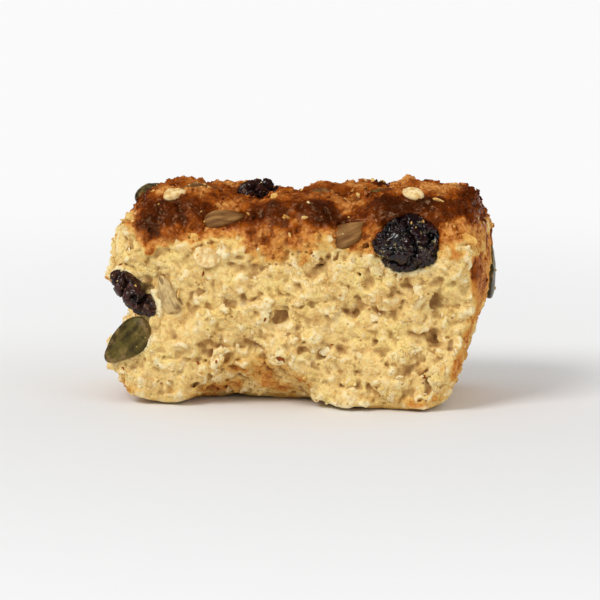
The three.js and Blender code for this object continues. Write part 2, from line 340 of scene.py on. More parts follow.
pumpkin_seeds = seeds_object("pumpkin_seeds", PUMPKIN_SEEDS, PUMPKIN_SHAPE, 0.12, 0.03)
paint = Paint("pumpkin_skin")
streaks = paint.math("MULTIPLY", paint.measure("streak"), 0.12)
streaks = paint.math("ADD", paint.noise(2.4, 4, 0.6), streaks)
skin = paint.mix(paint.between(streaks, 0.3, 0.72), linear(*PUMPKIN_DARK), linear(*PUMPKIN_GREEN))
patches = paint.between(paint.noise(3.4, 5, 0.68), 0.48, 0.62)
skin = paint.mix(paint.math("MULTIPLY", patches, 0.62), skin, linear(*PUMPKIN_BLOOM))
edge = paint.math("ADD", paint.measure("rim"), paint.math("MULTIPLY", paint.noise(1.5, 3), 0.3))
skin = paint.mix(paint.between(edge, 0.95, 1.2, 0.0, 0.85), skin, linear(*PUMPKIN_EDGE))
fibres = paint.fibres(0.5, 7)
skin = paint.mix(paint.between(fibres, 0.5, 0.36, 0, 0.35), skin, linear(*PUMPKIN_EDGE))
paint.bump(paint.math("ADD", paint.noise(0.8, 5, 0.65), paint.math("MULTIPLY", fibres, 0.6)), 0.16)
pumpkin_seeds.data.materials.append(paint.finish(skin, 0.3, **SEED_GLOSS))
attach(pumpkin_seeds, BODY)

SUNFLOWER_SHAPE = {"length": 8.6, "width": 4.2, "thick": 2.5, "point": 0.42, "flat": 0.8}
SUNFLOWER_PALE = (222, 192, 134)
SUNFLOWER_GREY = (190, 160, 108)
SUNFLOWER_BAKED = (122, 78, 34)
SUNFLOWER_RIDGE_HIGHLIGHT = (156, 110, 58)  # painted highlight on the ridges of a browned kernel
SUNFLOWER_SEAM = (96, 54, 20)
KERNEL_BAKED = (28, 36)  # kernels are browned by the oven above this height, in mm

sunflower_kernels = seeds_object("sunflower_kernels", SUNFLOWER_KERNELS, SUNFLOWER_SHAPE, 0.2, 0.09)
kernel_heights = np.array([vert.co.z for vert in sunflower_kernels.data.vertices]) / MM
keep_measure(sunflower_kernels, "baked", ramp(kernel_heights, *KERNEL_BAKED))
paint = Paint("sunflower_kernel")
dulled = paint.between(paint.noise(1.9, 4, 0.6), 0.4, 0.62)
kernel = paint.mix(dulled, linear(*SUNFLOWER_PALE), linear(*SUNFLOWER_GREY))
toasted = paint.math("SUBTRACT", paint.noise(1.3, 4, 0.6), 0.5)
toasted = paint.math("ADD", paint.measure("baked"), toasted)
toasted = paint.math("MULTIPLY", paint.between(toasted, 0.1, 0.8), 0.95)
# Painted highlight along the raised ridges of a browned kernel.
ridge_highlight = paint.between(paint.measure("streak"), -0.2, 0.9)
browned = paint.mix(ridge_highlight, linear(*SUNFLOWER_BAKED), linear(*SUNFLOWER_RIDGE_HIGHLIGHT))
kernel = paint.mix(toasted, kernel, browned)
seams = paint.math("MULTIPLY", paint.between(paint.measure("streak"), -0.35, -0.9), 0.6)
kernel = paint.mix(seams, kernel, linear(*SUNFLOWER_SEAM))
edge = paint.math("ADD", paint.measure("rim"), paint.math("MULTIPLY", paint.noise(1.2, 3), 0.3))
kernel = paint.mix(paint.between(edge, 0.9, 1.2, 0.0, 0.7), kernel, linear(*SUNFLOWER_SEAM))
fibres = paint.fibres(0.4, 8)
kernel = paint.mix(paint.between(fibres, 0.52, 0.36, 0, 0.5), kernel, linear(*SUNFLOWER_SEAM))
paint.bump(paint.math("ADD", paint.noise(0.7, 5, 0.7), fibres), 0.24)
sunflower_kernels.data.materials.append(paint.finish(kernel, 0.34, **SEED_GLOSS))
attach(sunflower_kernels, BODY)

OAT_SHAPE = {"length": 5.4, "width": 3.8, "thick": 1.7, "point": 0.0, "flat": 0.6, "seam": 0.35}
OAT_CREAM = (240, 214, 156)
OAT_TAN = (212, 170, 102)

oat_flakes = seeds_object("oat_flakes", OAT_FLAKES, OAT_SHAPE, 0.24, 0.08)
paint = Paint("oat_flake")
oat = paint.mix(paint.between(paint.noise(1.2, 3), 0.4, 0.65), linear(*OAT_CREAM), linear(*OAT_TAN))
paint.bump(paint.noise(0.4, 4, 0.6), 0.12)
oat_flakes.data.materials.append(paint.finish(oat, 0.8))
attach(oat_flakes, BODY)


# ---- Dried fruit and almond ----
# A big glossy berry, raisins and sweetened cranberries, shrivelled so that their skin folds, and one
# broken piece of almond. Each sits in the hollow that the dough baked round it.

FRUIT_SUBDIVISIONS = 3


def points_and_triangles(piece):
    """The points of a mesh object in mm, and its triangles."""
    mesh = piece.data
    mesh.calc_loop_triangles()
    points = np.empty((len(mesh.vertices), 3), np.float32)
    mesh.vertices.foreach_get("co", points.reshape(-1))
    triangles = np.empty((len(mesh.loop_triangles), 3), np.int32)
    mesh.loop_triangles.foreach_get("vertices", triangles.reshape(-1))
    return points / MM, triangles.astype(np.uint32)


def apply_modifiers(piece):
    """Replaces the mesh of a piece by what its modifiers make of it."""
    seen = piece.evaluated_get(bpy.context.evaluated_depsgraph_get())
    made = bpy.data.meshes.new_from_object(seen)
    piece.modifiers.clear()
    piece.data = made


def shrivelled(node_name, fold_size, fold_depth, seed):
    """The fruit of a node with finer faces and folded skin. It stays where the node is."""
    points, triangles = points_and_triangles(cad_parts[node_name])
    skin = mesh_object(node_name + "_skin", points, triangles.tolist())
    skin.modifiers.new("finer", "SUBSURF").levels = FRUIT_SUBDIVISIONS
    apply_modifiers(skin)
    mesh = skin.data
    spots = np.empty((len(mesh.vertices), 3), np.float32)
    mesh.vertices.foreach_get("co", spots.reshape(-1))
    normals = np.empty((len(mesh.vertices), 3), np.float32)
    mesh.vertices.foreach_get("normal", normals.reshape(-1))
    drawn = spots / MM
    bend = 1.2 * swell(drawn, fold_size, seed + 1)
    folds = np.abs(swell(drawn + bend[:, None], fold_size, seed))
    fine = np.abs(swell(drawn, fold_size * 0.42, seed + 2))
    out = fold_depth * (ramp(folds, 0, 0.45) - 0.7)
    out += 0.42 * fold_depth * (ramp(fine, 0, 0.4) - 0.7)
    out += 0.12 * fold_depth * swell(drawn, fold_size * 0.2, seed + 3)
    spots += normals * out[:, None] * MM
    mesh.vertices.foreach_set("co", spots.reshape(-1))
    # How far into a fold each point lies, for the painted shade in the folds.
    keep_measure(skin, "fold_shade", 1 - ramp(folds, 0, 0.35))
    mesh.update()
    mesh.shade_smooth()
    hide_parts(node_name)
    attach(skin, BODY)
    return skin


def fruit_skin(name, body, fold_shade, sheen, bloom, bloom_share, roughness):
    """Glossy dried skin: painted shade in its folds, lighter outside them, and a dusty bloom in patches.
    """
    paint = Paint(name)
    skin = paint.mix(paint.between(paint.noise(1.8, 3), 0.35, 0.7), linear(*body), linear(*sheen))
    # Painted shade deep in the folds of the skin.
    skin = paint.mix(paint.measure("fold_shade"), skin, linear(*fold_shade))
    dust = paint.between(paint.noise(0.9, 5, 0.72), 0.56, 0.64, 0, bloom_share)
    dust = paint.math("MULTIPLY", dust, paint.between(paint.noise(4.5, 2), 0.46, 0.56, 0.03, 1))
    skin = paint.mix(dust, skin, linear(*bloom))
    paint.bump(paint.noise(0.9, 3, 0.55), 0.06)
    rough = paint.between(paint.noise(0.9, 3), 0.4, 0.75, roughness, roughness + 0.2)
    return paint.finish(skin, rough, Specular_IOR_Level=0.4)


# The darkest colour of each skin is painted shade in its folds.
BERRY_COLOURS = {"body": (12, 8, 9), "fold_shade": (3, 1, 2), "sheen": (44, 18, 20), "bloom": (178, 166, 116)}
RAISIN_COLOURS = {"body": (30, 13, 9), "fold_shade": (9, 4, 3), "sheen": (64, 28, 18), "bloom": (168, 130, 90)}
CRANBERRY_COLOURS = {
    "body": (80, 20, 14),
    "fold_shade": (32, 8, 6),
    "sheen": (124, 40, 24),
    "bloom": (196, 140, 96),
}

berry = shrivelled("berry_front", 2.9, 1.2, 11)
fruit = [berry]
berry_skin = fruit_skin("berry_skin", **BERRY_COLOURS, bloom_share=0.7, roughness=0.09)
berry.data.materials.append(berry_skin)

RAISINS = {"raisin_left_end": 21, "raisin_top_left": 31, "raisin_back": 41}  # each with its noise
raisin_skin = fruit_skin("raisin_skin", **RAISIN_COLOURS, bloom_share=0.3, roughness=0.22)
for node_name, seed in RAISINS.items():
    raisin = shrivelled(node_name, 2.5, 1.1, seed)
    raisin.data.materials.append(raisin_skin)
    fruit.append(raisin)

CRANBERRIES = {"cranberry_top_right": 51, "cranberry_back": 61}
cranberry_skin = fruit_skin("cranberry_skin", **CRANBERRY_COLOURS, bloom_share=0.3, roughness=0.3)
for node_name, seed in CRANBERRIES.items():
    cranberry = shrivelled(node_name, 2.4, 0.7, seed)
    cranberry.data.materials.append(cranberry_skin)
    fruit.append(cranberry)

ALMOND_CREAM = (236, 218, 176)
ALMOND_SHADE = (206, 178, 126)
ALMOND_SKIN = (150, 96, 54)  # what is left of the brown skin

almond = shrivelled("almond_back", 3.2, 0.35, 71)
paint = Paint("almond")
shaded = paint.between(paint.noise(2.0, 3), 0.4, 0.6)
nut = paint.mix(shaded, linear(*ALMOND_CREAM), linear(*ALMOND_SHADE))
nut = paint.mix(paint.between(paint.noise(4.0, 4, 0.6), 0.58, 0.62), nut, linear(*ALMOND_SKIN))
paint.bump(paint.noise(0.5, 4, 0.6), 0.15)
almond.data.materials.append(paint.finish(nut, 0.6))
fruit.append(almond)


# ---- The baked dough ----
# One finger of tray-baked dough, broken off its neighbours and dried until hard. The top is browned
# crust, the broken faces are open granular crumb, and the tray left the underside nearly smooth.

VOXEL = 0.33  # the dough is shaped in cells of this size, in mm
MARGIN = 3.0  # empty space kept round the rusk
BAND = 3.4  # how far from the surface distances are known
RELIEF_REACH = 2.4  # the surface is moved by less than this
FACET_SMOOTHING = 0.5  # takes away the facets of the solid
FACE_SMOOTHING = 2.2  # wide enough to tell only which way a whole face looks
TIP_SMOOTHING = 0.9  # tips and crevices are told apart against a surface smoothed by this
TRIANGLES = 190_000  # about as many as the dough keeps
CHUNKS = 16  # the noise is worked out in this many pieces at once

# Where the browned crust ends on the broken faces: how far along the rusk, and how high.
CRUST_EDGE = [
    (-39, 36),
    (-32.5, 35.5),
    (-29, 31.2),
    (-24.5, 32.8),
    (-13, 32.8),
    (-7, 31.6),
    (3, 31.6),
    (9, 32.4),
    (40, 32.6),
]
CLOSING = 0.5  # the dough closes round the fruit, which its solid keeps clear of
MENISCUS = 1.0  # how wide the dough fills the corner between a seed and the face it lies on
COLLAR = 2.1  # how much of that corner it fills
BARED = 0.25  # how far the dough stays back where it would creep over a seed
SUNK_EDGE = 0.14  # how deep the dough goes on under the skin of what is baked into it

low, high = (np.array(corner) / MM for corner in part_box("rusk"))
first_voxel = np.floor((low - MARGIN) / VOXEL).astype(int)
voxel_counts = np.ceil((high + MARGIN) / VOXEL).astype(int) - first_voxel


def distances(pieces):
    """Distance of each voxel to the surface of closed pieces in mm, negative inside, up to BAND."""
    points, triangles, start = [], [], 0
    for piece in pieces:
        piece_points, piece_triangles = points_and_triangles(piece)
        points.append(piece_points)
        triangles.append(piece_triangles + np.uint32(start))
        start += len(piece_points)
    grid = openvdb.FloatGrid.createLevelSetFromPolygons(
        np.concatenate(points),
        triangles=np.concatenate(triangles),
        transform=openvdb.createLinearTransform(voxelSize=VOXEL),
        halfWidth=BAND / VOXEL,
    )
    values = np.empty(voxel_counts, np.float32)
    grid.copyToArray(values, ijk=tuple(int(v) for v in first_voxel))
    return values


def blurred(values, radius):
    """The field smoothed by a bell curve of that radius in mm."""
    reach = math.ceil(2.5 * radius / VOXEL)
    bell = np.exp(-0.5 * (np.arange(-reach, reach + 1) * VOXEL / radius) ** 2)
    bell /= bell.sum()
    for axis in range(3):
        moved = np.moveaxis(values, axis, 0)
        padded = np.pad(moved, ((reach, reach), (0, 0), (0, 0)), mode="edge")
        total = sum(weight * padded[i : i + len(moved)] for i, weight in enumerate(bell))
        values = np.moveaxis(total, 0, axis).astype(np.float32)
    return values


def read(field, spots):
    """The value of a field at spots in mm."""
    place = spots / VOXEL - first_voxel
    cell = np.clip(np.floor(place).astype(int), 0, np.array(field.shape[:3]) - 2)
    part = np.clip(place - cell, 0, 1).astype(np.float32)
    total = 0
    for corner in itertools.product((0, 1), repeat=3):
        weight = np.prod(np.where(corner, part, 1 - part), axis=1)
        i, j, k = (cell + np.array(corner)).T
        total = total + weight * field[i, j, k]
    return total


@functools.lru_cache(maxsize=None)
def granule_middles(seed):
    """Where the middle of the granule lies in each of a block of cells."""
    middles = np.random.default_rng(seed).uniform(0.1, 0.9, (3, NOISE_TILE**3))
    return middles.astype(np.float32)


def granules(spots, size, seed):
    """Distance from each spot to the middle of the nearest granule, in granule widths."""
    middles = granule_middles(seed)
    place = spots.T.astype(np.float32) / np.float32(size)
    cell = np.floor(place - np.float32(0.5)).astype(np.int32)
    nearest = np.full(len(spots), 9.0, np.float32)
    for steps in itertools.product((0, 1), repeat=3):
        i, j, k = ((row + step) % NOISE_TILE for row, step in zip(cell, steps))
        index = (i * NOISE_TILE + j) * NOISE_TILE + k
        away = 0
        for row, step, middle, at in zip(cell, steps, middles, place):
            away = away + (row + step + middle[index] - at) ** 2
        nearest = np.minimum(nearest, away)
    return np.sqrt(nearest)


def side_by_side(measure, *columns):
    """What measure gives for long columns, worked out in pieces on all the cores."""
    pieces = zip(*(np.array_split(column, CHUNKS) for column in columns))
    with ThreadPoolExecutor() as pool:
        made = list(pool.map(lambda piece: measure(*piece), pieces))
    return np.concatenate(made, axis=-1)


plain = blurred(distances([rusk_node]), FACET_SMOOTHING)
slopes = np.gradient(blurred(plain, FACE_SMOOTHING), VOXEL)


def facing_at(spots):
    """Which way the face under each spot looks, as a unit direction."""
    way = np.stack([read(slope, spots) for slope in slopes], axis=1)
    return way / np.maximum(np.linalg.norm(way, axis=1, keepdims=True), 1e-6)


def parts_of_surface(spots):
    """How much of each spot is crust, tray side and underside, and how far it is above the brow."""
    facing = facing_at(spots)
    brow = spots[:, 2] - np.interp(spots[:, 0], *np.transpose(CRUST_EDGE))
    brow = brow + 1.2 * swell(spots, 5.5, 101) + 1.1 * swell(spots, 2.1, 102)
    brow = brow + 0.6 * swell(spots, 0.9, 103)
    tray_side = ramp(facing[:, 0] + 0.08 * swell(spots, 3.0, 104), 0.6, 0.8)
    crust = np.maximum(ramp(brow, -0.9, 0.9), ramp(facing[:, 2], 0.55, 0.8) * (spots[:, 2] > 20))
    under = ramp(-facing[:, 2], 0.6, 0.85) * ramp(spots[:, 2], 2.0, 1.2)
    return np.stack([crust, tray_side * (1 - crust), under, brow])


def bent(spots, by, size, seed):
    """The spots moved about by noise, which frays the edges of whatever is worked out from them."""
    return spots + by * np.stack([swell(spots, size, seed + i) for i in range(3)], axis=1)


def crumb_relief(spots):
    """Torn crumb: soft lumps with crevices between them, and pores with thin walls, both frayed."""
    frayed = bent(spots, 0.5, 1.4, 201)
    torn = ramp(swell(frayed, 4.6, 215), -0.35, 0.45)
    lumps = 0.6 * (np.abs(swell(frayed, 2.9, 212)) - 0.4) * (1 - torn)
    walls = 0.75 * (0.4 - np.abs(swell(frayed, 2.2, 221))) * torn
    rough = 0.95 * (np.abs(swell(frayed, 5.6, 211)) - 0.4) + lumps + walls
    rough += 0.28 * (0.4 - np.abs(swell(frayed, 1.3, 213))) + 0.12 * swell(spots, 0.7, 214)
    flattened = bent(frayed, 0.5, 0.9, 222) * np.array([0.7, 0.7, 1.25])
    open_pores = 1.2 * ramp(granules(flattened, 3.7, 217), 0.22, 0.06)
    open_pores *= ramp(swell(spots, 6.0, 220), -0.1, 0.5)
    small_pores = 0.7 * ramp(granules(flattened, 2.1, 218), 0.24, 0.12)
    return rough - open_pores - small_pores * ramp(swell(spots, 4.0, 219), -0.2, 0.4)


def crust_relief(spots):
    """Browned crust: fine grains close together, low swellings, and cracks between the lobes."""
    frayed = bent(spots, 0.35, 1.1, 301)
    grains = 0.55 * (0.55 - granules(frayed, 2.1, 311)) + 0.6 * (0.55 - granules(frayed, 1.1, 312))
    swollen = 0.8 * (np.abs(swell(frayed, 5.0, 313)) - 0.4) + 0.24 * swell(frayed, 0.7, 314)
    streaks = 0.3 * (0.4 - np.abs(swell(frayed * np.array([1, 1, 0.45]), 1.3, 317)))
    crack = 1 - ramp(np.abs(swell(frayed, 7.0, 315)), 0.0, 0.1)
    pits = 0.8 * ramp(granules(frayed, 2.0, 318), 0.22, 0.1) * ramp(swell(spots, 4.0, 319), -0.2, 0.4)
    return grains + swollen + streaks - pits - 1.5 * crack * ramp(swell(spots, 9.0, 316), -0.1, 0.4)


def underside_relief(spots):
    """The tray's print: almost smooth, with pinholes."""
    return 0.12 * swell(spots, 1.6, 401) - 0.6 * ramp(granules(spots, 2.4, 402), 0.2, 0.1)


def relief(spots):
    """How far the surface stands out at each spot, by what that part of the rusk is made of."""
    crust, tray_side, under, _ = parts_of_surface(spots)
    pressed = 0.55 * crust_relief(spots) + 0.2 * swell(spots, 3.5, 14)
    out = crumb_relief(spots) * (1 - crust) + crust_relief(spots) * crust
    out = out * (1 - tray_side) + pressed * tray_side
    return out * (1 - under) + underside_relief(spots) * under


seeds = [pumpkin_seeds, sunflower_kernels, oat_flakes]
to_seeds = distances(seeds)
to_fruit = distances(fruit)

near = np.abs(plain) < RELIEF_REACH
spots = ((np.argwhere(near) + first_voxel) * VOXEL).astype(np.float32)
wander = 0.4 * swell(spots, 1.3, 501) + 0.25 * swell(spots, 3.0, 502)
corner = np.clip((plain - blurred(plain, MENISCUS))[near], 0, 0.3) * ramp(to_seeds[near], 1.9, 0.6)
collar = COLLAR * corner * ramp(swell(spots, 2.3, 503), -0.9, 0.6)
clear_of_seeds = ramp(to_seeds[near] + wander, -0.1, 0.8)
clear_of_fruit = ramp(to_fruit[near] + wander, 0.2, 1.4)
clear = clear_of_seeds * clear_of_fruit
shaped = plain[near] - side_by_side(relief, spots) * (0.15 + 0.85 * clear)
shaped -= collar + CLOSING * (1 - clear_of_fruit) - BARED * (1 - clear_of_seeds)
field = plain.copy()
field[near] = shaped
field = np.maximum(field, -SUNK_EDGE - np.minimum(to_seeds, to_fruit))
heights = (first_voxel[2] + np.arange(voxel_counts[2])) * VOXEL
field = np.maximum(field, -heights).astype(np.float32)  # the tray kept the dough above itself

grid = openvdb.FloatGrid(float(BAND))
grid.copyFromArray(field, ijk=tuple(int(v) for v in first_voxel))
grid.transform = openvdb.createLinearTransform(voxelSize=VOXEL)
points, quads = grid.convertToQuads()
dough = mesh_object("dough", points, quads.tolist())
fewer = dough.modifiers.new("fewer", "DECIMATE")
fewer.ratio = min(1.0, TRIANGLES / (2 * len(quads)))
apply_modifiers(dough)


def keep_largest(piece):
    """Takes away the specks that the relief cut free."""
    shape = bmesh.new()
    shape.from_mesh(piece.data)
    shape.verts.ensure_lookup_table()
    group = np.full(len(shape.verts), -1)
    for vert in shape.verts:
        if group[vert.index] >= 0:
            continue
        waiting, mark = [vert], vert.index
        group[mark] = mark
        while waiting:
            for edge in waiting.pop().link_edges:
                for other in edge.verts:
                    if group[other.index] < 0:
                        group[other.index] = mark
                        waiting.append(other)
    largest = np.bincount(group).argmax()
    specks = [vert for vert in shape.verts if group[vert.index] != largest]
    bmesh.ops.delete(shape, geom=specks, context="VERTS")
    shape.to_mesh(piece.data)
    shape.free()
    piece.data.shade_smooth()


keep_largest(dough)


def baking_at(spots):
    """How browned each spot is, painted shade included, from 0 to 1, and how much is underside and tray
    side.
    """
    crust, tray_side, under, brow = parts_of_surface(spots)
    facing = facing_at(spots)
    patches = 0.13 * swell(spots, 5.0, 601) + 0.08 * swell(spots, 1.8, 602)
    # Darker toward the top of the brow: partly browning, partly painted shadow of a rusk lying on top.
    deep_and_shadowed = 0.25 + 0.2 * ramp(brow, 0.0, 2.4) + 0.45 * ramp(brow, 1.4, 7.2)
    deep_and_shadowed = deep_and_shadowed - 0.42 * ramp(facing[:, 2], 0.8, 0.985)
    deep_and_shadowed -= 0.14 * ramp(spots[:, 0], 22, 32) + 0.12 * ramp(spots[:, 0], -30, -36)
    browning_and_shade = (deep_and_shadowed + patches) * crust
    scorched = 0.22 + 0.26 * ramp(spots[:, 2], 6, 32) + 1.3 * patches
    browning_and_shade = np.maximum(browning_and_shade, scorched * tray_side)
    browning_and_shade = np.maximum(browning_and_shade, (0.17 + 0.7 * patches) * under)
    # Faces that look down above the foot, as under the arch, are darker: partly browning, partly painted
    # shade.
    arch_browning_and_shade = ramp(-facing[:, 2], 0.25, 0.7) * ramp(spots[:, 2], 1.2, 3.0)
    browning_and_shade = np.maximum(browning_and_shade, (0.22 + 1.5 * patches) * arch_browning_and_shade)
    rim = ramp(spots[:, 2] + 0.9 * swell(spots, 2.5, 603), 1.8, 0.4)
    rim = rim * ramp(swell(spots, 6.0, 604), -0.6, 0.4)
    browning_and_shade = np.maximum(browning_and_shade, 0.45 * rim * (1 - under))
    return np.stack([np.maximum(browning_and_shade, 0), under, tray_side])


spots, _ = points_and_triangles(dough)
browning_and_shade, under, tray_side = side_by_side(baking_at, spots)
keep_measure(dough, "browning_and_shade", browning_and_shade)
keep_measure(dough, "tray_side", tray_side)
# How far each point stands out of the surface round it, for painted light on tips and shade in crevices.
tips = read(blurred(np.clip(field, -1.5, 1.5), TIP_SMOOTHING), spots)
keep_measure(dough, "tips", tips)

# The darkest shades also carry the painted shadow at the top of the brow.
DOUGH_SHADES = [
    (0.0, (243, 213, 142)),
    (0.16, (236, 190, 104)),
    (0.34, (212, 140, 58)),
    (0.52, (162, 82, 16)),
    (0.74, (102, 41, 3)),
    (1.0, (62, 21, 1)),
]
CRUST_GOLD = (228, 164, 92)
CRUMB_PATCHES = [
    {"size": 6.0, "from": 0.48, "to": 0.62, "share": 0.6, "colour": (250, 226, 146)},
    {"size": 3.4, "from": 0.5, "to": 0.68, "share": 0.65, "colour": (218, 174, 100)},
    {"size": 2.6, "from": 0.54, "to": 0.7, "share": 0.6, "colour": (232, 210, 162)},
]
SPECKLE = (206, 158, 92)
# Painted shade in the crumb's crevices and pores, darkest in the deepest, and painted light on its tips.
CREVICE_SHADE = (152, 102, 44)
DEEP_CREVICE_SHADE = (120, 62, 24)
TIP_LIGHT = (255, 240, 196)
# the painted shade inside fine cracks
CRACK_SHADE = (138, 92, 44)
BRAN = (146, 84, 42)


def dough_material(name):
    """Dried dough, mottled and granular, pale crumb to brown crust; painted shade in pores, light on
    tips.
    """
    paint = Paint(name)
    # How browned the dough is, with the painted shadow on the brow and the painted shade under the arch.
    browned = paint.measure("browning_and_shade")
    uneven = paint.math("SUBTRACT", paint.noise(1.5, 5, 0.7), 0.5)
    uneven = paint.math("MULTIPLY", uneven, paint.between(browned, 0.0, 0.3, 0.1, 0.7))
    colour = paint.shades(paint.math("ADD", browned, uneven, clamp=True), DOUGH_SHADES)
    gold = paint.math("MULTIPLY", paint.between(browned, 0.58, 0.38), paint.between(browned, 0.2, 0.34))
    gold = paint.math("MULTIPLY", gold, paint.between(paint.noise(0.9, 4, 0.65), 0.4, 0.62, 0, 0.85))
    colour = paint.mix(gold, colour, linear(*CRUST_GOLD))
    crumb_share = paint.between(browned, 0.3, 0.04)
    for patch in CRUMB_PATCHES:
        cloud = paint.noise(patch["size"], 4, 0.6)
        share = paint.between(cloud, patch["from"], patch["to"], 0, patch["share"])
        share = paint.math("MULTIPLY", share, crumb_share)
        colour = paint.mix(share, colour, linear(*patch["colour"]))
    speckle = paint.between(paint.noise(0.6, 4, 0.7), 0.44, 0.64)
    colour = paint.mix(paint.math("MULTIPLY", speckle, 0.42), colour, linear(*SPECKLE), "MULTIPLY")
    # Painted shade where the surface sinks into a crevice or pore, painted light where it stands out.
    tips = paint.measure("tips")
    colour = paint.mix(paint.between(tips, 0.0, -0.26, 0, 0.5), colour, linear(*CREVICE_SHADE), "MULTIPLY")
    colour = paint.mix(paint.between(tips, -0.2, -0.5, 0, 0.55), colour, linear(*DEEP_CREVICE_SHADE))
    tip_light = paint.math("MULTIPLY", paint.between(tips, 0.12, 0.42, 0, 0.7), crumb_share)
    colour = paint.mix(tip_light, colour, linear(*TIP_LIGHT))
    # Thin dark lines painted on the crumb as the shade inside fine cracks.
    line = paint.math("ABSOLUTE", paint.math("SUBTRACT", paint.noise(2.4, 3, 0.6), 0.5))
    line = paint.math("MULTIPLY", paint.between(line, 0.02, 0.004, 0, 0.55), crumb_share)
    line = paint.math("MULTIPLY", line, paint.between(paint.noise(3.2, 2), 0.5, 0.6))
    colour = paint.mix(line, colour, linear(*CRACK_SHADE))
    specks = paint.between(paint.cells(1.9), 0.17, 0.12)
    specks = paint.math("MULTIPLY", specks, paint.between(paint.noise(3.0, 2), 0.52, 0.58, 0, 0.75))
    colour = paint.mix(specks, colour, linear(*BRAN))
    height = paint.math("ADD", paint.noise(0.5, 5, 0.75), paint.math("MULTIPLY", paint.cells(0.6), -0.5))
    paint.bump(paint.math("MULTIPLY", height, paint.between(browned, 0.2, 0.6, 0.75, 0.28)), 0.28)
    gloss = paint.math("SUBTRACT", paint.noise(0.8, 3), 0.5)
    dull = paint.math("MULTIPLY", paint.measure("tray_side"), 0.5)
    rough = paint.math("ADD", paint.between(browned, 0.27, 0.52, 0.95, 0.22), dull)
    rough = paint.math("ADD", rough, gloss)
    return paint.finish(
        colour,
        rough,
        Specular_IOR_Level=0.45,
        Specular_Tint=(1.0, 0.64, 0.34, 1),
        Subsurface_Weight=0.18,
        Subsurface_Radius=(1.0, 0.6, 0.3),
        Subsurface_Scale=0.8 * MM,
    )


dough_skin = dough_material("dough")
dough.data.materials.append(dough_skin)
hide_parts("rusk")
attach(dough, BODY)


# ---- Crumbs that cling to the dough ----
# Where the dough tore and where its crust cracked, grains of it stand loose at one side or cling to
# the face. They are angular, from a quarter of a millimetre to three, and mostly as pale or brown as
# what they sit on.


def scattered(piece, count, share, seed):
    """Random places on a piece, drawn by area and share: where, which way out, and which point."""
    random = np.random.default_rng(seed)
    points, triangles = points_and_triangles(piece)
    a, b, c = (points[triangles[:, i]] for i in range(3))
    across = np.cross(b - a, c - a)
    area = np.linalg.norm(across, axis=1)
    chance = area * share[triangles].mean(axis=1)
    picked = random.choice(len(triangles), count, p=chance / chance.sum())
    u, v = np.sort(random.uniform(0, 1, (2, count)), axis=0)[:, :, None]
    spots = a[picked] * u + b[picked] * (v - u) + c[picked] * (1 - v)
    return spots, across[picked] / area[picked, None], triangles[picked, 0]


def chip_points(spots, outward, sizes, chip, seed):
    """An angular chip of its own size at each spot, all their faces, and how many points each has."""
    random = np.random.default_rng(seed)
    shape = bmesh.new()
    bmesh.ops.create_icosphere(shape, subdivisions=chip["faces_level"], radius=0.5)
    ball = np.array([vert.co for vert in shape.verts])
    ball_faces = np.array([[vert.index for vert in face.verts] for face in shape.faces])
    shape.free()
    count = len(spots)
    up = outward + random.normal(0, 0.45, (count, 3))
    up /= np.linalg.norm(up, axis=1, keepdims=True)
    along = np.cross(up, random.normal(0, 1, (count, 3)))
    along /= np.linalg.norm(along, axis=1, keepdims=True)
    turns = np.stack([along, np.cross(up, along), up], axis=1)
    stretch = random.uniform(0.65, 1.35, (count, 1, 3)) * sizes[:, None, None]
    stretch[:, :, 2] *= chip["flat"]
    cut = random.uniform(0.7, 1.25, (count, len(ball), 1))
    local = ball * cut * stretch
    middles = spots + outward * chip["raised"] * sizes[:, None]
    points = np.einsum("nvi,nij->nvj", local, turns) + middles[:, None]
    faces = ball_faces + len(ball) * np.arange(count)[:, None, None]
    return points.reshape(-1, 3), faces.reshape(-1, 3), len(ball)


def chips_object(name, place, baked, sizes, chip, seed):
    """One mesh of chips of dough of one kind, each a little more or less browned than baked says."""
    spots, outward, _ = place
    random = np.random.default_rng(seed)
    points, faces, each = chip_points(spots, outward, sizes, chip, seed + 1)
    chips = mesh_object(name, points, faces.tolist(), weld=False)
    chips.data.shade_flat()
    keep_measure(chips, "browning_and_shade", np.repeat(baked + random.uniform(-0.04, 0.08, len(spots)), each))
    # Each chip takes a random tips value, which gives it painted light or a little painted shade.
    keep_measure(chips, "tips", np.repeat(random.uniform(-0.1, 0.4, len(spots)), each))
    chips.data.materials.append(dough_skin)
    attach(chips, BODY)


def uneven_sizes(count, smallest, largest, seed):
    """Sizes from smallest to largest, far more of them small than large."""
    share = np.random.default_rng(seed).uniform(0, 1, count) ** 2.5
    return smallest + (largest - smallest) * share


above_tray = ramp(spots[:, 2], 0.5, 1.5)  # nothing clings where the dough lay on the tray
crust_share = ramp(browning_and_shade, 0.15, 0.3) * above_tray
crumb_share = (1 - crust_share) * (1 - under) * ramp(tips, -0.15, 0.1) * above_tray

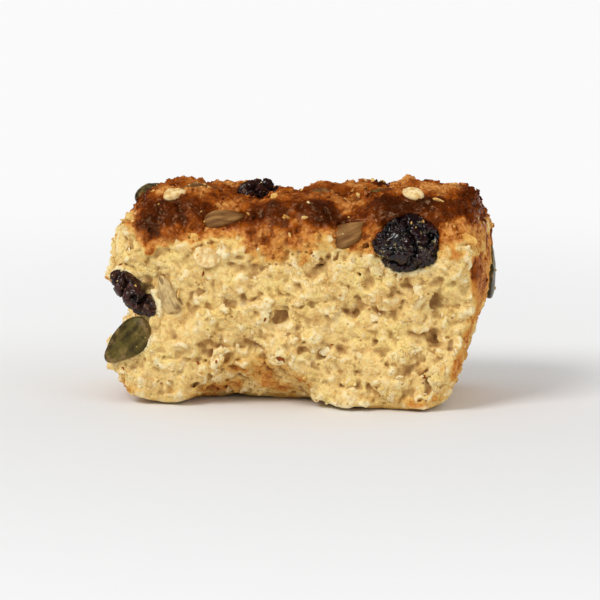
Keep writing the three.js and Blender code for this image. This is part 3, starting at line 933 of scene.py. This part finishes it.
CHIPS = {
    "torn_flakes": {"count": 420, "sizes": (1.0, 3.0), "flat": 0.34, "faces_level": 2, "raised": -0.1},
    "crumbs": {"count": 3000, "sizes": (0.3, 1.1), "flat": 0.6, "faces_level": 1, "raised": 0.0},
    "crust_grains": {"count": 3600, "sizes": (0.4, 1.3), "flat": 0.6, "faces_level": 1, "raised": -0.05},
    "bran_flakes": {"count": 36, "sizes": (0.7, 1.8), "flat": 0.3, "faces_level": 2, "raised": -0.15},
    "pale_chips": {"count": 60, "sizes": (0.7, 2.4), "flat": 0.4, "faces_level": 2, "raised": -0.1},
}
CHIP_SEEDS = 701  # each kind starts its random draws ten after the one before
CHIP_SHARES = {
    "torn_flakes": crumb_share,
    "crumbs": crumb_share + 0.03 * above_tray,
    "crust_grains": crust_share * (1 - 0.7 * tray_side) * (1 - 0.6 * ramp(browning_and_shade, 0.45, 0.65)),
    "bran_flakes": crumb_share,
    "pale_chips": crust_share * ramp(spots[:, 2], 30, 36),
}
CHIP_BROWNING = {"bran_flakes": 0.6, "pale_chips": 0.18}  # the rest are as browned as what they sit on

for number, (name, chip) in enumerate(CHIPS.items()):
    seed = CHIP_SEEDS + 10 * number
    place = scattered(dough, chip["count"], CHIP_SHARES[name], seed)
    chip_sizes = uneven_sizes(chip["count"], *chip["sizes"], seed + 1)
    baked = CHIP_BROWNING.get(name, browning_and_shade[place[2]])
    chips_object(name, place, baked, chip_sizes, chip, seed + 2)

DUSTED = {"fruit": (fruit, 8, 740), "seeds": (seeds, 12, 760)}  # crumbs on each piece, and a seed
DUST = {"sizes": (0.25, 0.8), "flat": 0.7, "faces_level": 1, "raised": 0.1}
DUST_BROWNING = 0.12

for kind, (pieces, count, seed) in DUSTED.items():
    places = []
    for number, piece in enumerate(pieces):
        outside = read(field, points_and_triangles(piece)[0])
        places.append(scattered(piece, count, ramp(outside, -0.1, 0.2) + 1e-6, seed + number))
    place = [np.concatenate(column) for column in zip(*places)]
    chip_sizes = uneven_sizes(len(place[0]), *DUST["sizes"], seed)
    chips_object(f"crumbs_on_{kind}", place, DUST_BROWNING, chip_sizes, DUST, seed)


# ---- Floor, light and camera ----
# A pale table that runs into a white backdrop, a large soft light from the upper left in front, and
# a weak one from the right. The camera looks at the broken front, a little from the right and above.

FLOOR_SIZE = 8.0
FLOOR_FRONT = 0.81  # how pale the table is painted in front of the rusk
FLOOR_BACK = 0.93  # and behind it, painted paler there as painted light
FLOOR_BRIGHTENS = (-0.04, 0.08)  # between these distances behind the rusk's middle, in metres
BACKDROP = 0.956  # how bright the backdrop is
BACKDROP_FROM = (0.06, 0.28)  # the table turns into the backdrop between these distances, in metres

bpy.ops.mesh.primitive_plane_add(size=FLOOR_SIZE, location=(0, 0, 0))
floor = bpy.context.object
floor.name = "floor"
paint = Paint("floor")
nodes, links = paint.nodes, paint.links
length = nodes.new("ShaderNodeVectorMath")
length.operation = "LENGTH"
links.new(paint.place, length.inputs[0])
glow = nodes.new("ShaderNodeEmission")
glow.inputs["Color"].default_value = (1, 1, 1, 1)
glow.inputs["Strength"].default_value = BACKDROP
blend = nodes.new("ShaderNodeMixShader")
across = nodes.new("ShaderNodeSeparateXYZ")
links.new(paint.place, across.inputs[0])
# Painted light: the table is painted paler behind the rusk than in front of it.
tone = paint.between(across.outputs["Y"], *FLOOR_BRIGHTENS, FLOOR_FRONT, FLOOR_BACK)
paint.finish(tone, 0.9)
links.new(paint.between(length.outputs["Value"], *BACKDROP_FROM), blend.inputs["Fac"])
links.new(paint.shader.outputs["BSDF"], blend.inputs[1])
links.new(glow.outputs["Emission"], blend.inputs[2])
links.new(blend.outputs["Shader"], nodes["Material Output"].inputs["Surface"])
floor.data.materials.append(paint.material)

WORLD = 0.62  # even light from all round
WORLD_IN_GLOSS = 0.06  # gloss mirrors a room that is darker than the light it gets

world = bpy.data.worlds.new("studio")
bpy.context.scene.world = world
world.use_nodes = True
world_nodes, world_links = world.node_tree.nodes, world.node_tree.links
background = world_nodes["Background"]
background.inputs["Color"].default_value = (1, 1, 1, 1)
ray = world_nodes.new("ShaderNodeLightPath")
for_gloss = world_nodes.new("ShaderNodeMix")
for_gloss.inputs["A"].default_value = WORLD
for_gloss.inputs["B"].default_value = WORLD_IN_GLOSS
world_links.new(ray.outputs["Is Glossy Ray"], for_gloss.inputs["Factor"])
past_floor = world_nodes.new("ShaderNodeMix")
past_floor.inputs["B"].default_value = BACKDROP
world_links.new(ray.outputs["Is Camera Ray"], past_floor.inputs["Factor"])
world_links.new(for_gloss.outputs["Result"], past_floor.inputs["A"])
world_links.new(past_floor.outputs["Result"], background.inputs["Strength"])


def soft_light(name, place, size, power, glints=True):
    """A square lamp that looks at the rusk. Without glints it doesn't show in glossy surfaces."""
    light = bpy.data.lights.new(name, "AREA")
    light.size = size
    light.energy = power
    lamp = bpy.data.objects.new(name, light)
    lamp.location = place
    lamp.visible_glossy = glints
    lamp.rotation_euler = (-Vector(place)).to_track_quat("-Z", "Y").to_euler()
    bpy.context.scene.collection.objects.link(lamp)


soft_light("key_light", (-0.55, -0.75, 0.95), size=0.5, power=9)
soft_light("fill_light", (0.9, -0.6, 0.5), size=0.8, power=2, glints=False)

CAMERA_AZIMUTH = 7
CAMERA_ELEVATION = 9.5
CAMERA_DISTANCE = 0.85
CAMERA_AIM = (0.0, 0.0, 0.0195)
VIEW_WIDTH = 0.122  # how wide the frame is at the rusk
SENSOR_WIDTH = 36

azimuth, elevation = math.radians(CAMERA_AZIMUTH), math.radians(CAMERA_ELEVATION)
back = Vector(
    (
        math.sin(azimuth) * math.cos(elevation),
        -math.cos(azimuth) * math.cos(elevation),
        math.sin(elevation),
    )
)
camera = bpy.data.objects.new("camera", bpy.data.cameras.new("camera"))
camera.location = Vector(CAMERA_AIM) + back * CAMERA_DISTANCE
camera.rotation_euler = (-back).to_track_quat("-Z", "Y").to_euler()
camera.data.sensor_width = SENSOR_WIDTH
camera.data.lens = SENSOR_WIDTH * CAMERA_DISTANCE / VIEW_WIDTH
camera.data.clip_start = 0.01
bpy.context.scene.collection.objects.link(camera)
bpy.context.scene.camera = camera
bpy.context.scene.view_settings.view_transform = "Standard"
